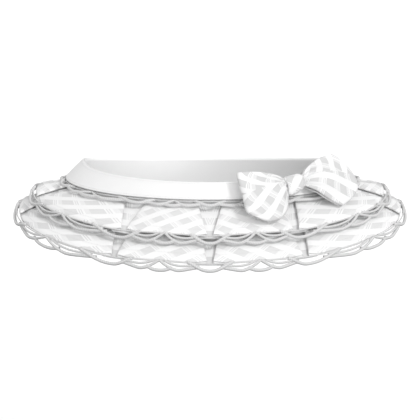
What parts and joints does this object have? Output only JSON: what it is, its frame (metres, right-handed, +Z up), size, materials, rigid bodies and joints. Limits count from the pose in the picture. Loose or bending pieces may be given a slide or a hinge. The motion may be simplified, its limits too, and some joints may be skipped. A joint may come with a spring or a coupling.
{
  "type": "mini skirt",
  "caption": "Tartan mini skirt with a smooth flared yoke, two tiers of box-pleated flounces edged with corded lace, and a tied bow.",
  "frame": {"origin": "middle of the waist opening, at the height of its front and side edge", "axes": "+Z up, front towards -Y, +X towards the wearer's left"},
  "size_m": [0.5028, 0.3976, 0.1196],
  "materials": {
    "white_cloth": "smooth satin weave, soft sheen",
    "tartan": "matte twill, pale grey tartan on white",
    "lace": "matte twisted cotton cord"
  },
  "bodies": {
    "root": {"yoke_front": "white_cloth", "yoke_back": "white_cloth", "facing_front": "white_cloth", "facing_back": "white_cloth", "tier_1_front": "tartan", "tier_1_back": "tartan", "tier_2_front": "tartan", "tier_2_back": "tartan", "lace_yoke_front": "lace", "lace_yoke_back": "lace", "lace_tier_1_front": "lace", "lace_tier_1_back": "lace", "lace_tier_2_front": "lace", "lace_tier_2_back": "lace", "bow_left": "tartan", "bow_right": "tartan", "bow_knot": "tartan"}
  },
  "joints": []
}
